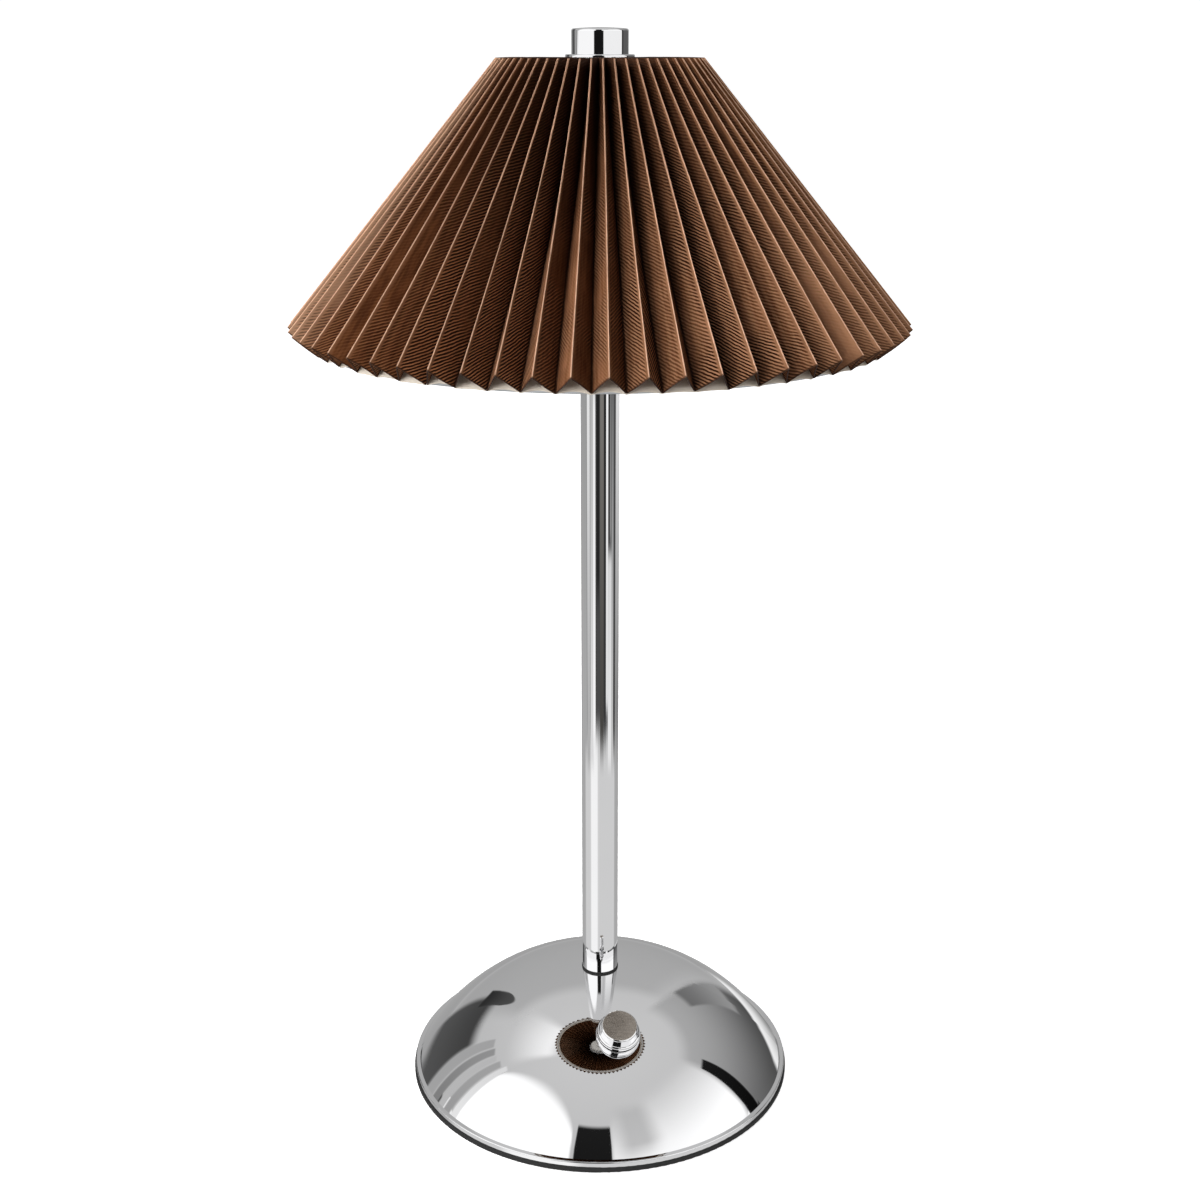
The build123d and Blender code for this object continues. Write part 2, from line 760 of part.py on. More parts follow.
def pleat_depth(ridge_radius):
    """Depth of the folds where a strip of constant pleat width is gathered to this ridge radius."""
    spread = (slant_down * pleat_spread) ** 2
    half = ridge_radius * slant_down * pleat_spread**2
    rest = (ridge_radius * pleat_spread) ** 2 - pleat_width**2
    return (half + sqrt(half**2 - (1 + spread) * rest)) / (1 + spread)


def pleat_outline(ridge_radius):
    """Closed outline of one pleat, ridge in the middle, across the slant: sideways and along the normal."""
    depth = pleat_depth(ridge_radius)
    valley = (ridge_radius - depth * slant_down) * pleat_spread
    half_wall = pleat_wall / 2 * sqrt(valley**2 + depth**2) / depth
    reach = 1 - half_wall / (ridge_radius * pleat_spread)
    right = [
        (half_wall, 0),
        (half_wall + reach * valley, -reach * depth),
        (valley, -depth),
        (valley - half_wall, -depth),
    ]
    left = [(-x, y) for x, y in reversed(right)]
    return right + [(0, -half_wall * depth / valley)] + left


def pleat_plane(radius, height):
    """Plane across the slant at the end of the ridge that points along +X."""
    return Plane(origin=(radius, 0, height), x_dir=(0, 1, 0), z_dir=(slant_out, 0, -slant_down))


# One pleat, trimmed level at the top, then the whole ring of them
with BuildPart() as pleat:
    for radius, height in (
        (strip_top_radius, strip_top_height),
        (ridge_bottom_radius, ridge_bottom_height),
    ):
        with BuildSketch(pleat_plane(radius, height)):
            with BuildLine():
                Polyline(*pleat_outline(radius), close=True)
            make_face()
    loft(ruled=True)
    split(bisect_by=Plane.XY.offset(ridge_top_height), keep=Keep.BOTTOM)

with BuildPart() as shade_pleats:
    with PolarLocations(0, pleat_count, pleat_phase):
        add(pleat.part)
finish(shade_pleats, "shade_pleats")


# The cone that the valleys of the pleats lie on, and what lies inside it
def valley_end(ridge_radius, ridge_height):
    """Radius and height of the inner edge of the fabric at one end of a valley."""
    depth = pleat_depth(ridge_radius)
    return Vector(ridge_radius - depth * slant_down, ridge_height - depth * slant_out)


valley_start = valley_end(strip_top_radius, strip_top_height)
valley_bottom = valley_end(ridge_bottom_radius, ridge_bottom_height)
valley_run = (valley_bottom - valley_start).normalized()
valley_top = valley_start + valley_run * ((ridge_top_height - valley_start.Y) / valley_run.Y)
valley_inward = Vector(valley_run.Y, -valley_run.X)
liner_outer = valley_inward * seat_gap
liner_inner = valley_inward * (seat_gap + liner_wall)
wire_inward = valley_inward * (seat_gap + liner_wall + ring_gap + wire_radius)

# Cream lining bands behind the folds, one along the upper edge and one along the lower
with BuildPart() as shade_liner:
    for edge, into_shade in ((valley_top, valley_run), (valley_bottom, -valley_run)):
        band_end = edge + into_shade * liner_width
        with BuildSketch(Plane.XZ):
            with BuildLine():
                Polyline(
                    edge + liner_outer,
                    band_end + liner_outer,
                    band_end + liner_inner,
                    edge + liner_inner,
                    close=True,
                )
            make_face()
        revolve(axis=Axis.Z)
finish(shade_liner, "shade_liner")

# Wire ring in the lower edge
wire_low = valley_bottom - valley_run * wire_inset + wire_inward
with BuildPart() as shade_bottom_ring:
    with BuildSketch(Plane.XZ):
        with Locations((wire_low.X, wire_low.Y)):
            Circle(wire_radius)
    revolve(axis=Axis.Z)
finish(shade_bottom_ring, "shade_bottom_ring")

# Welded carrier: the upper wire ring, three arms and the hub that the finial clamps
wire_high = valley_top + valley_run * wire_inset + wire_inward
arm_root_height = hub_top - arm_radius - seat_gap
with BuildPart() as shade_spider:
    with BuildSketch(Plane.XZ):
        with Locations((wire_high.X, wire_high.Y)):
            Circle(wire_radius)
    revolve(axis=Axis.Z)
    for n in range(arm_count):
        angle = radians(arm_turn + n * 360 / arm_count)
        root = Vector(arm_root_radius * cos(angle), arm_root_radius * sin(angle), arm_root_height)
        tip = Vector(wire_high.X * cos(angle), wire_high.X * sin(angle), wire_high.Y)
        with BuildSketch(Plane(origin=root, z_dir=tip - root)):
            Circle(arm_radius)
        extrude(amount=(tip - root).length)
    with BuildSketch(Plane.XY.offset(shade_seat)):
        Circle(hub_radius)
    extrude(amount=hub_thickness)
    with BuildSketch(Plane.XY.offset(shade_seat - arm_radius)):
        Circle(rod_clear_radius)
    extrude(amount=hub_thickness + 2 * arm_radius, mode=Mode.SUBTRACT)
finish(shade_spider, "shade_spider")

# Washer under the finial
with BuildPart() as finial_washer:
    with BuildSketch(Plane.XY.offset(hub_top)):
        Circle(finial_washer_radius)
        Circle(rod_clear_radius, mode=Mode.SUBTRACT)
    extrude(amount=finial_washer_thickness)
    fillet(rims(finial_washer, finial_washer_radius)[-1], finial_washer_round)
finish(finial_washer, "finial_washer")

# Finial nut: a crowned drum with a blind threaded bore
with BuildPart() as finial:
    with BuildSketch(Plane.XZ):
        with BuildLine():
            ThreePointArc(
                (0, finial_top),
                (finial_radius / 2, finial_top - finial_crown / 4),
                (finial_radius, finial_top - finial_crown),
            )
            Polyline(
                (finial_radius, finial_top - finial_crown),
                (finial_radius, finial_bottom),
                (rod_radius + running_gap, finial_bottom),
                (rod_radius + running_gap, finial_bottom + finial_bore_depth),
                (0, finial_bottom + finial_bore_depth),
                (0, finial_top),
            )
        make_face()
    revolve(axis=Axis.Z)
    fillet(rims(finial, finial_radius)[-1], finial_round)
finish(finial, "finial")
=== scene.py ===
from math import asin, cos, pi, radians, sin, sqrt, tan, tau

import bpy
import numpy as np
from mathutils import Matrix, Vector


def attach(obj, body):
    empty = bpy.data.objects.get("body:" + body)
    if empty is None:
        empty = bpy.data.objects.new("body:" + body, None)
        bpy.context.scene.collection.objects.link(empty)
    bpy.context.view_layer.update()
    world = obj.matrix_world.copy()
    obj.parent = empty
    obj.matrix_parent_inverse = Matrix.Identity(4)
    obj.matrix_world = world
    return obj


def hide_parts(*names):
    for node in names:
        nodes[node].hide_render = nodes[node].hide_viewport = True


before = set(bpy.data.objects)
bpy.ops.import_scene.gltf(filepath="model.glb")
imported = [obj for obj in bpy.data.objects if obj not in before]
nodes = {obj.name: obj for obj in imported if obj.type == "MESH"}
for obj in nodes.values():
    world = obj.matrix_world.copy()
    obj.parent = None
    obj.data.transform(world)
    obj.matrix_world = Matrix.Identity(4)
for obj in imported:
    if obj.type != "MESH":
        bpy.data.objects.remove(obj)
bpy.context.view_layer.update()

# Pleated table lamp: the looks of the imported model. Metres, +Z up, front towards -Y.

MM = 0.001
dice = np.random.default_rng(60)

# Shade: a strip of pleats, from its level trim above to its wide end below
PLEATS = 60
FIRST_RIDGE = radians(1.5)
PLEAT_ANGLE = tau / PLEATS
FACET_WIDTH = 12.2 * MM
RIDGE_TOP = Vector((40.1 * MM, 441.9 * MM))
RIDGE_BOTTOM = Vector((123.8 * MM, 341.3 * MM))
STRIP_LENGTH = (RIDGE_BOTTOM - RIDGE_TOP).length
CLOTH_THICKNESS = 0.35 * MM
RIB_PITCH = 1.55 * MM
STRIP_ROWS = 29
FOLD_SHARPNESS = 0.9975

# Lining bands behind the folds
BAND_WIDTH = 10 * MM
BAND_GAP = 0.35 * MM
BAND_THICKNESS = 0.4 * MM
BAND_SAG = 0.2 * MM
BAND_ROWS = 5
BAND_POINTS_PER_FOLD = 8

# Dome: how far from the stem, and how deep, its mirror departs from a ball's
PRESSED_RADIUS = 75 * MM
PRESSED_DEPTH = 3.8 * MM

# Knob: where it sits on the dome, and how high its end face stands
KNOB_FOOT = Vector((7.87, -42.48, 38.54)) * MM
KNOB_AXIS = Vector((0.0783, -0.4227, 0.9029))
KNOB_END = 7.55 * MM
KNOB_EDGE = 0.05 * MM

# Studio: glowing cards hang far round the lamp, each a step in front of the one before
CARD_DISTANCE = 24.0
CARD_STEP = 0.2
LIGHT_AIM = Vector((0, 0, 0.3))
BACKDROP_GLOW = 1.05

# Camera
CAMERA_PLACE = (0, -0.6762, 0.4460)
CAMERA_PITCH = 18.23
CAMERA_LENS = 50.44
CAMERA_SENSOR = 36.0


# ---- Finishes


class Value:
    """A number or colour that comes out of a node, written in sums like any other number."""

    def __init__(self, wiring, socket):
        self.wiring = wiring
        self.socket = socket

    def __add__(self, other):
        return self.wiring.maths("ADD", self, other)

    def __radd__(self, other):
        return self.wiring.maths("ADD", other, self)

    def __sub__(self, other):
        return self.wiring.maths("SUBTRACT", self, other)

    def __rsub__(self, other):
        return self.wiring.maths("SUBTRACT", other, self)

    def __mul__(self, other):
        return self.wiring.maths("MULTIPLY", self, other)

    def __rmul__(self, other):
        return self.wiring.maths("MULTIPLY", other, self)

    def __truediv__(self, other):
        return self.wiring.maths("DIVIDE", self, other)


class Wiring:
    """A tree of shader nodes that are added one after another."""

    def __init__(self, tree):
        self.tree = tree

    def node(self, kind, settings=(), inputs=(), output=0):
        """Adds a node with its settings first, then feeds its sockets, and gives back one output."""
        made = self.tree.nodes.new("ShaderNode" + kind)
        for key, value in dict(settings).items():
            setattr(made, key, value)
        for key, value in dict(inputs).items():
            self.feed(made.inputs[key], value)
        return Value(self, made.outputs[output])

    def feed(self, socket, value):
        """Links a value of this tree to a socket, or sets the socket to a plain number or colour."""
        if isinstance(value, Value):
            self.tree.links.new(value.socket, socket)
        else:
            socket.default_value = value

    def maths(self, operation, first, second=0.0):
        return self.node("Math", {"operation": operation}, {0: first, 1: second})

    def split(self, point):
        """The three parts of a point."""
        parts = self.node("SeparateXYZ", {}, {0: point})
        return [Value(self, output) for output in parts.socket.node.outputs]

    def place(self, stretch=(1, 1, 1)):
        """The point on the piece, in metres, stretched by these shares."""
        point = self.node("TexCoord", output="Object")
        return self.node("Mapping", {}, {"Vector": point, "Scale": stretch})

    def noise(self, scale, detail=3.0, roughness=0.5, at=None, stretch=(1, 1, 1)):
        """Cloudy variation between 0 and 1, with scale clouds to the metre."""
        at = self.place(stretch) if at is None else at
        sockets = {"Vector": at, "Scale": scale, "Detail": detail, "Roughness": roughness}
        return self.node("TexNoise", {}, sockets)

    def ease(self, value, low, high, to_low=0.0, to_high=1.0):
        """A soft step: to_low at low, to_high at high."""
        sockets = {"Value": value, 1: low, 2: high, 3: to_low, 4: to_high}
        return self.node("MapRange", {"interpolation_type": "SMOOTHSTEP"}, sockets)

    def between(self, value, outside_low, low, high, outside_high):
        """A soft stretch: 1 from low to high, and 0 outside the other two."""
        return self.ease(value, outside_low, low) * self.ease(value, high, outside_high, 1.0, 0.0)

    def mix(self, share, first, second):
        """One colour turning into another as share goes from 0 to 1."""
        colours = {0: share, 6: first, 7: second}
        return self.node("Mix", {"data_type": "RGBA"}, colours, output=2)

    def bump(self, height, distance, under=None):
        """Relief that stands up by distance where height is 1."""
        sockets = {"Height": height, "Distance": distance}
        if under is not None:
            sockets["Normal"] = under
        return self.node("Bump", {}, sockets)


class Finish(Wiring):
    """A material, with its surface."""

    def __init__(self, name, **sockets):
        self.material = bpy.data.materials.new(name)
        self.material.use_nodes = True
        super().__init__(self.material.node_tree)
        self.surface = self.tree.nodes["Principled BSDF"]
        self.paint(**sockets)

    def paint(self, **sockets):
        """Feeds sockets of the surface, named in lower case with _ for the spaces."""
        for name, value in sockets.items():
            label = name.replace("_", " ").title().replace("Ior", "IOR")
            self.feed(self.surface.inputs[label], value)


def rgb(red, green, blue):
    return (red, green, blue, 1.0)


def grey(level):
    return rgb(level, level, level)


PLATE_LIGHT = rgb(0.95, 0.95, 0.955)
PLATE_DARK = rgb(0.90, 0.90, 0.91)


def plated(name, pressed=False):
    """Plated metal, with the faint clouding that handling leaves.

    The mirror of the pressed dome is a little flatter round the stem than a ball's.
    """
    made = Finish(name, metallic=1.0)
    cloud = made.noise(34, detail=5)
    haze = made.noise(900, detail=2)
    relief = made.bump(made.noise(12, detail=1), 0.02 * MM)
    if pressed:
        across, back, _ = made.split(made.node("TexCoord", output="Object"))
        from_stem = (across * across + back * back) / PRESSED_RADIUS**2
        to_edge = made.maths("MAXIMUM", 1 - from_stem)
        relief = made.bump(1 - to_edge * to_edge * to_edge, PRESSED_DEPTH, under=relief)
    made.paint(
        base_color=made.mix(cloud, PLATE_LIGHT, PLATE_DARK),
        roughness=0.015 + 0.03 * cloud * haze,
        normal=relief,
    )
    return made.material


def satin_knob():
    """Plated knob whose end face is brushed to a satin and tinted brown, a painted reflection of the shade.
    """
    made = Finish("satin_knob", metallic=1.0)
    point = made.node("TexCoord", output="Object")
    height = made.node("VectorMath", {"operation": "DOT_PRODUCT"}, {0: point, 1: KNOB_AXIS}, output=1)
    height = height - KNOB_FOOT.dot(KNOB_AXIS)
    face = made.ease(height, KNOB_END - KNOB_EDGE, KNOB_END + KNOB_EDGE)
    brushed = made.noise(150, detail=5, stretch=(1, 9, 9))
    cloud = made.noise(60, detail=3)
    polish = made.mix(cloud, PLATE_LIGHT, PLATE_DARK)
    # The brown tint of the brushed end face is a painted reflection of the shade
    satin_and_reflection = made.mix(brushed, rgb(0.60, 0.53, 0.46), rgb(0.80, 0.73, 0.65))
    made.paint(
        base_color=made.mix(face, polish, satin_and_reflection),
        roughness=0.02 + face * (0.30 + 0.12 * brushed),
        normal=made.bump(face * brushed, 0.02 * MM),
    )
    return made.material


def moulded(name, light, dark, rough, relief=0.04):
    """Plastic, rubber or paint with a fine moulded grain, its relief in millimetres."""
    made = Finish(name)
    cloud = made.noise(40, detail=3)
    made.paint(
        base_color=made.mix(cloud, dark, light),
        roughness=rough + 0.12 * cloud,
        normal=made.bump(made.noise(1400, detail=2), relief * MM),
    )
    return made.material


def bare_metal(name, light, dark, rough, relief=0.03):
    """Unplated metal with the marks of its making, their relief in millimetres."""
    made = Finish(name, metallic=1.0)
    marks = made.noise(500, detail=4)
    cloud = made.noise(60, detail=3)
    made.paint(
        base_color=made.mix(cloud, dark, light),
        roughness=rough + 0.2 * marks,
        normal=made.bump(marks, relief * MM),
    )
    return made.material


def pleat_cloth():
    """Brown ribbed cloth, with painted shade and painted highlights. U runs along the strip and V down the
    slant, both in metres.
    """
    made = Finish("pleat_cloth", specular_ior_level=0.04)
    strip = made.node("UVMap", {"uv_map": "strip"})
    along, down, _ = made.split(strip)
    from_ridge = made.maths("PINGPONG", along, FACET_WIDTH)
    facet = made.maths("FLOOR", along / FACET_WIDTH)
    luck = made.node("TexWhiteNoise", {"noise_dimensions": "1D"}, {"W": facet + 17.3})

    # Ribs climb from each ridge to the valleys beside it, deep on some stretches and faint on others
    wander = made.noise(60, detail=2, at=strip)
    break_up = made.noise(420, detail=3, at=strip)
    rib_slope = 1.0 + 0.3 * luck
    phase = (down + rib_slope * from_ridge) / RIB_PITCH + 1.8 * wander + 0.5 * break_up
    wave = 0.5 + 0.5 * made.maths("SINE", tau * phase)
    left_of_front = made.between(along, 0.925, 0.955, 1.035, 1.055)
    right_of_front = made.between(along, 1.09, 1.12, 1.25, 1.29)
    patches = made.ease(made.noise(30, detail=2, at=strip) + 0.35 * luck, 0.50, 0.66)
    deep = made.maths("MAXIMUM", left_of_front, made.maths("MAXIMUM", right_of_front, 0.5 * patches))
    lower_part = made.ease(down, -10 * MM, 55 * MM, 0.3, 1.0)
    off_the_fold = made.ease(from_ridge, 0.9 * MM, 1.9 * MM)
    ribbed = (0.12 + 0.88 * deep) * (0.55 + 0.45 * patches) * lower_part * off_the_fold
    # Painted shade darkens the rib grooves and a painted highlight lightens the crests; the grooves also
    # make the relief
    groove = ribbed * made.ease(wave, 0.20, 0.60, 1.0, 0.0)
    crest = ribbed * made.ease(wave, 0.60, 0.95, 0.0, 0.75)

    # Painted light: every second facet, all facing the same way round the shade, is painted paler, as if lit
    # from that side; streaks run along the folds
    lit_facet = made.maths("PINGPONG", facet, 1.0)
    streak_place = made.node("Mapping", {}, {"Vector": strip, "Scale": (9, 1, 1)})
    streak = made.ease(made.noise(60, detail=4, roughness=0.6, at=streak_place), 0.3, 0.7)
    dark_streak = made.mix(lit_facet, rgb(0.066, 0.021, 0.007), rgb(0.165, 0.065, 0.028))
    pale_streak = made.mix(lit_facet, rgb(0.140, 0.051, 0.019), rgb(0.315, 0.140, 0.069))
    cloth = made.mix(streak, dark_streak, pale_streak)

    # Painted highlights: one stretch at the lamp's left and one low at its right are painted paler, where
    # light falls on them
    lit_left_stretch = made.between(along, 0.60, 0.66, 0.79, 0.87)
    cloth = made.mix(0.85 * lit_left_stretch, cloth, rgb(0.34, 0.20, 0.125))
    lit_right_low = made.between(along, 1.235, 1.30, 1.50, 1.60) * made.ease(down, 45 * MM, 100 * MM)
    cloth = made.mix(0.6 * lit_right_low, cloth, rgb(0.37, 0.185, 0.100))
    # Painted highlight on the rib crests, then painted shade in the rib grooves
    crest_colour = made.mix(lit_facet, rgb(0.42, 0.175, 0.080), rgb(0.47, 0.240, 0.133))
    cloth = made.mix(crest, cloth, crest_colour)
    cloth = made.mix(0.98 * groove, cloth, rgb(0.010, 0.003, 0.001))

    # Light ridges, partly wear on the fold and partly painted highlight, with soft shoulders of painted
    # highlight; both painted fainter high up
    beside_ridge = 0.14 * lit_facet * made.ease(from_ridge, 0, 3 * MM, 1.0, 0.0)
    shoulder = made.ease(from_ridge, 0.7 * MM, 2.0 * MM, 0.22, 0.0) + beside_ridge
    shoulder = shoulder * made.ease(down, 0, 90 * MM, 0.3, 1.0)
    cloth = made.mix(shoulder, cloth, rgb(0.40, 0.205, 0.115))
    ridge_wobble = made.noise(500, detail=2, at=strip)
    ridge = made.ease(from_ridge + 0.35 * MM * ridge_wobble, 0.42 * MM, 0.82 * MM, 0.9, 0.0)
    ridge = ridge * made.ease(down, 0, 75 * MM, 0.68, 1.0)
    cloth = made.mix(ridge, cloth, rgb(0.78, 0.48, 0.325))

    # Painted shade in the valleys and creases and over the upper part, and a dark line along the hem
    valley = made.ease(from_ridge, 0.35 * FACET_WIDTH, FACET_WIDTH)
    valley = made.ease(down, -10 * MM, 115 * MM, 0.97, 0.35) * valley
    cloth = made.mix(valley, cloth, rgb(0.02, 0.007, 0.003))
    crease = made.ease(from_ridge, FACET_WIDTH - 1.4 * MM, FACET_WIDTH - 0.4 * MM)
    cloth = made.mix(0.8 * crease, cloth, rgb(0.012, 0.004, 0.002))
    high_up = made.ease(down, 0, 112 * MM, 0.86, 0.0) * made.ease(from_ridge, 0.6 * MM, 2.0 * MM)
    cloth = made.mix(high_up, cloth, rgb(0.03, 0.010, 0.004))
    hem = made.ease(down, STRIP_LENGTH - 0.7 * MM, STRIP_LENGTH - 0.25 * MM)
    cloth = made.mix(0.75 * hem, cloth, rgb(0.04, 0.017, 0.009))

    thread = made.noise(2600, detail=2, at=strip)
    threads = made.bump(thread, 0.05 * MM)
    made.paint(
        base_color=cloth,
        roughness=0.72 + 0.15 * thread,
        normal=made.bump(1 - groove, 0.35 * MM, under=threads),
    )
    return made.material


def band_cloth():
    """Cream tape with a fine plain weave."""
    made = Finish("band_cloth", specular_ior_level=0.2, sheen_weight=0.1, sheen_roughness=0.5)
    thread = made.noise(1800, detail=2)
    made.paint(
        base_color=made.mix(made.noise(30, detail=3), rgb(0.80, 0.71, 0.60), rgb(0.88, 0.80, 0.70)),
        roughness=0.8 + 0.1 * thread,
        normal=made.bump(thread, 0.06 * MM),
    )
    return made.material


def circuit_board(name, light, dark):
    """Lacquered board, with its copper showing faintly through."""
    made = Finish(name, coat_weight=0.3)
    bricks = {"Vector": made.place(), "Scale": 180.0, "Mortar Size": 0.04}
    tracks = made.node("TexBrick", {}, bricks, output="Fac")
    made.paint(
        base_color=made.mix(tracks, light, dark),
        roughness=0.35 + 0.1 * made.noise(300),
        normal=made.bump(tracks, 0.03 * MM),
    )
    return made.material


finishes = {
    "chrome": plated("chrome_plate"),
    "black_rubber": moulded("foot_rubber", grey(0.02), grey(0.008), 0.6),
    "black_plastic": moulded("port_plastic", rgb(0.03, 0.03, 0.032), rgb(0.015, 0.015, 0.016), 0.42),
    "cast_iron": bare_metal("rough_iron", rgb(0.20, 0.19, 0.18), rgb(0.09, 0.085, 0.08), 0.55, relief=0.25),
    "zinc_steel": bare_metal("zinc_plate", rgb(0.72, 0.73, 0.74), rgb(0.52, 0.53, 0.55), 0.28),
    "green_board": circuit_board("green_lacquer", rgb(0.02, 0.16, 0.06), rgb(0.03, 0.24, 0.09)),
    "white_board": circuit_board("white_lacquer", rgb(0.82, 0.82, 0.80), rgb(0.74, 0.74, 0.72)),
    "led_phosphor": moulded("yellow_phosphor", rgb(0.85, 0.62, 0.12), rgb(0.75, 0.52, 0.08), 0.3),
    "cell_wrap": moulded("cell_sleeve", rgb(0.05, 0.16, 0.38), rgb(0.035, 0.12, 0.30), 0.3, relief=0.01),
    "aluminium": bare_metal("turned_aluminium", rgb(0.80, 0.81, 0.82), rgb(0.62, 0.63, 0.64), 0.3),
    "opal_plastic": moulded("opal_acrylic", rgb(0.88, 0.87, 0.84), rgb(0.80, 0.79, 0.76), 0.35, relief=0.01),
    "cable_sheath": moulded("lead_sheath", rgb(0.70, 0.70, 0.68), rgb(0.55, 0.55, 0.53), 0.5),
    "brown_fabric": pleat_cloth(),
    "cream_fabric": band_cloth(),
}
cut_edge = moulded("cut_cloth_edge", rgb(0.05, 0.024, 0.015), rgb(0.03, 0.013, 0.008), 0.85)

for node in nodes.values():
    for holder in node.material_slots:
        holder.material = finishes[holder.material.name]
nodes["dimmer_knob"].material_slots[0].material = satin_knob()
nodes["dome_shell"].material_slots[0].material = plated("dome_plate", pressed=True)


# ---- Making sheets


def deselect():
    for item in list(bpy.context.selected_objects):
        item.select_set(False)


def new_grid(name, columns, rows):
    """A flat grid to be shaped, with the column and row of each of its points."""
    deselect()
    bpy.ops.mesh.primitive_grid_add(x_subdivisions=columns - 1, y_subdivisions=rows - 1, size=1)
    piece = bpy.context.object
    piece.name = name
    piece.data.name = name
    points = np.empty(len(piece.data.vertices) * 3)
    piece.data.vertices.foreach_get("co", points)
    points = points.reshape(-1, 3)
    column = np.rint((points[:, 0] + 0.5) * (columns - 1)).astype(int)
    row = np.rint((0.5 - points[:, 1]) * (rows - 1)).astype(int)
    return piece, column, row


def shape(piece, points):
    """Moves the points of a piece to these places."""
    piece.data.vertices.foreach_set("co", np.asarray(points, float).ravel())
    piece.data.update()


def lay_map(piece, name, across, down):
    """Gives every corner of the piece its place on the flat cloth or card."""
    corner = np.empty(len(piece.data.loops), int)
    piece.data.loops.foreach_get("vertex_index", corner)
    while piece.data.uv_layers:
        piece.data.uv_layers.remove(piece.data.uv_layers[0])
    layer = piece.data.uv_layers.new(name=name)
    layer.data.foreach_set("uv", np.stack([across[corner], down[corner]], -1).ravel())


def close_ring(piece, smooth_angle):
    """Joins the two ends of a strip and turns its faces outwards."""
    bpy.context.view_layer.objects.active = piece
    piece.select_set(True)
    bpy.ops.object.mode_set(mode="EDIT")
    bpy.ops.mesh.select_all(action="SELECT")
    bpy.ops.mesh.remove_doubles(threshold=1e-6)
    bpy.ops.mesh.normals_make_consistent(inside=False)
    bpy.ops.object.mode_set(mode="OBJECT")
    bpy.ops.object.shade_smooth_by_angle(angle=smooth_angle)


def thicken(piece, thickness, rim_slot=0):
    """Gives a sheet its thickness, inwards from the side that shows."""
    wall = piece.modifiers.new("wall", "SOLIDIFY")
    wall.thickness = thickness
    wall.offset = -1
    wall.use_even_offset = False
    wall.material_offset_rim = rim_slot
    bpy.ops.object.modifier_apply(modifier=wall.name)


def turned(radius, height, turn):
    """The points at this radius and height, turned about the stem."""
    return np.stack([radius * np.cos(turn), radius * np.sin(turn), height + 0 * turn], -1)


def smooth_walks(lines, knots, spread):
    """Gentle random lines down the strip, with a value for each of its rows."""
    walks = []
    for _ in range(lines):
        knot = dice.normal(0, spread, knots)
        walks.append(np.interp(np.linspace(0, knots - 1, STRIP_ROWS), np.arange(knots), knot))
    return np.stack(walks)


# ---- Pleated shade

slant = (RIDGE_BOTTOM - RIDGE_TOP).normalized()
inwards = Vector((slant.y, -slant.x))
pleat_spread = tan(pi / PLEATS)


def fold_depth(ridge_radius):
    """Depth of the folds where facets of one width are gathered to this ridge radius."""
    spread = (-slant.y * pleat_spread) ** 2
    half = ridge_radius * -slant.y * pleat_spread**2
    rest = (ridge_radius * pleat_spread) ** 2 - FACET_WIDTH**2
    return (half + sqrt(half**2 - (1 + spread) * rest)) / (1 + spread)


# Shares of a facet's width at which the cloth has a point, closer together at the folds
half_facet = (0.0, 0.012, 0.028, 0.05, 0.085, 0.2, 0.35, 0.5)
facet_shares = half_facet + tuple(1 - share for share in reversed(half_facet[:-1]))
pleat_shares = [-share for share in reversed(facet_shares)] + list(facet_shares[1:])
per_pleat = len(pleat_shares) - 1

pleats, column, row = new_grid("shade_pleats_cloth", PLEATS * per_pleat + 1, STRIP_ROWS)
pleat = np.minimum(column // per_pleat, PLEATS - 1)
share = np.array(pleat_shares)[column - pleat * per_pleat]
width_share = np.abs(share)
facet_arch = np.sin(pi * width_share)
rounded = 0.5 - np.arcsin(FOLD_SHARPNESS * np.cos(pi * width_share)) / (2 * asin(FOLD_SHARPNESS))

# Small faults of a hand-folded shade: every ridge and valley is a little out of place
ridge_drift = smooth_walks(PLEATS, 4, radians(0.07))
valley_drift = smooth_walks(PLEATS, 4, radians(0.16))
depth_drift = 1 + smooth_walks(PLEATS, 3, 0.02)
bow = smooth_walks(2 * PLEATS, 5, 0.30 * MM)
hem_drift = dice.normal(0, 0.22 * MM, 2 * PLEATS)
trim_drift = dice.normal(0, 0.10 * MM, 2 * PLEATS)

valley_of = np.where(share > 0, pleat, (pleat - 1) % PLEATS)
facet_of = 2 * pleat + (share > 0)
sideways_sign = np.sign(share)

# The level trim reaches further up the slant at the valleys than at the ridges
drop = RIDGE_TOP.y - RIDGE_BOTTOM.y
top_depth, bottom_depth = fold_depth(RIDGE_TOP.x), fold_depth(RIDGE_BOTTOM.x)
rise_at_trim = top_depth * inwards.y * rounded + trim_drift[facet_of] * facet_arch
trim_fall = rise_at_trim / (drop + (top_depth - bottom_depth) * inwards.y * rounded)
fall = trim_fall + (1 - trim_fall) * row / (STRIP_ROWS - 1)
reach = np.clip(fall, 0, 1)

ridge_radius = RIDGE_TOP.x + (RIDGE_BOTTOM.x - RIDGE_TOP.x) * fall
ridge_height = RIDGE_TOP.y - drop * fall
drifted = 1 + (depth_drift[valley_of, row] - 1) * np.minimum(1, 4 * reach)
depth = (top_depth + (bottom_depth - top_depth) * fall) * drifted
ridge_turn = FIRST_RIDGE + pleat * PLEAT_ANGLE + ridge_drift[pleat, row]
valley_turn = FIRST_RIDGE + (pleat + 0.5 * sideways_sign) * PLEAT_ANGLE + valley_drift[valley_of, row]
ridge_point = turned(ridge_radius, ridge_height, ridge_turn)
valley_point = turned(ridge_radius + depth * inwards.x, ridge_height + depth * inwards.y, valley_turn)

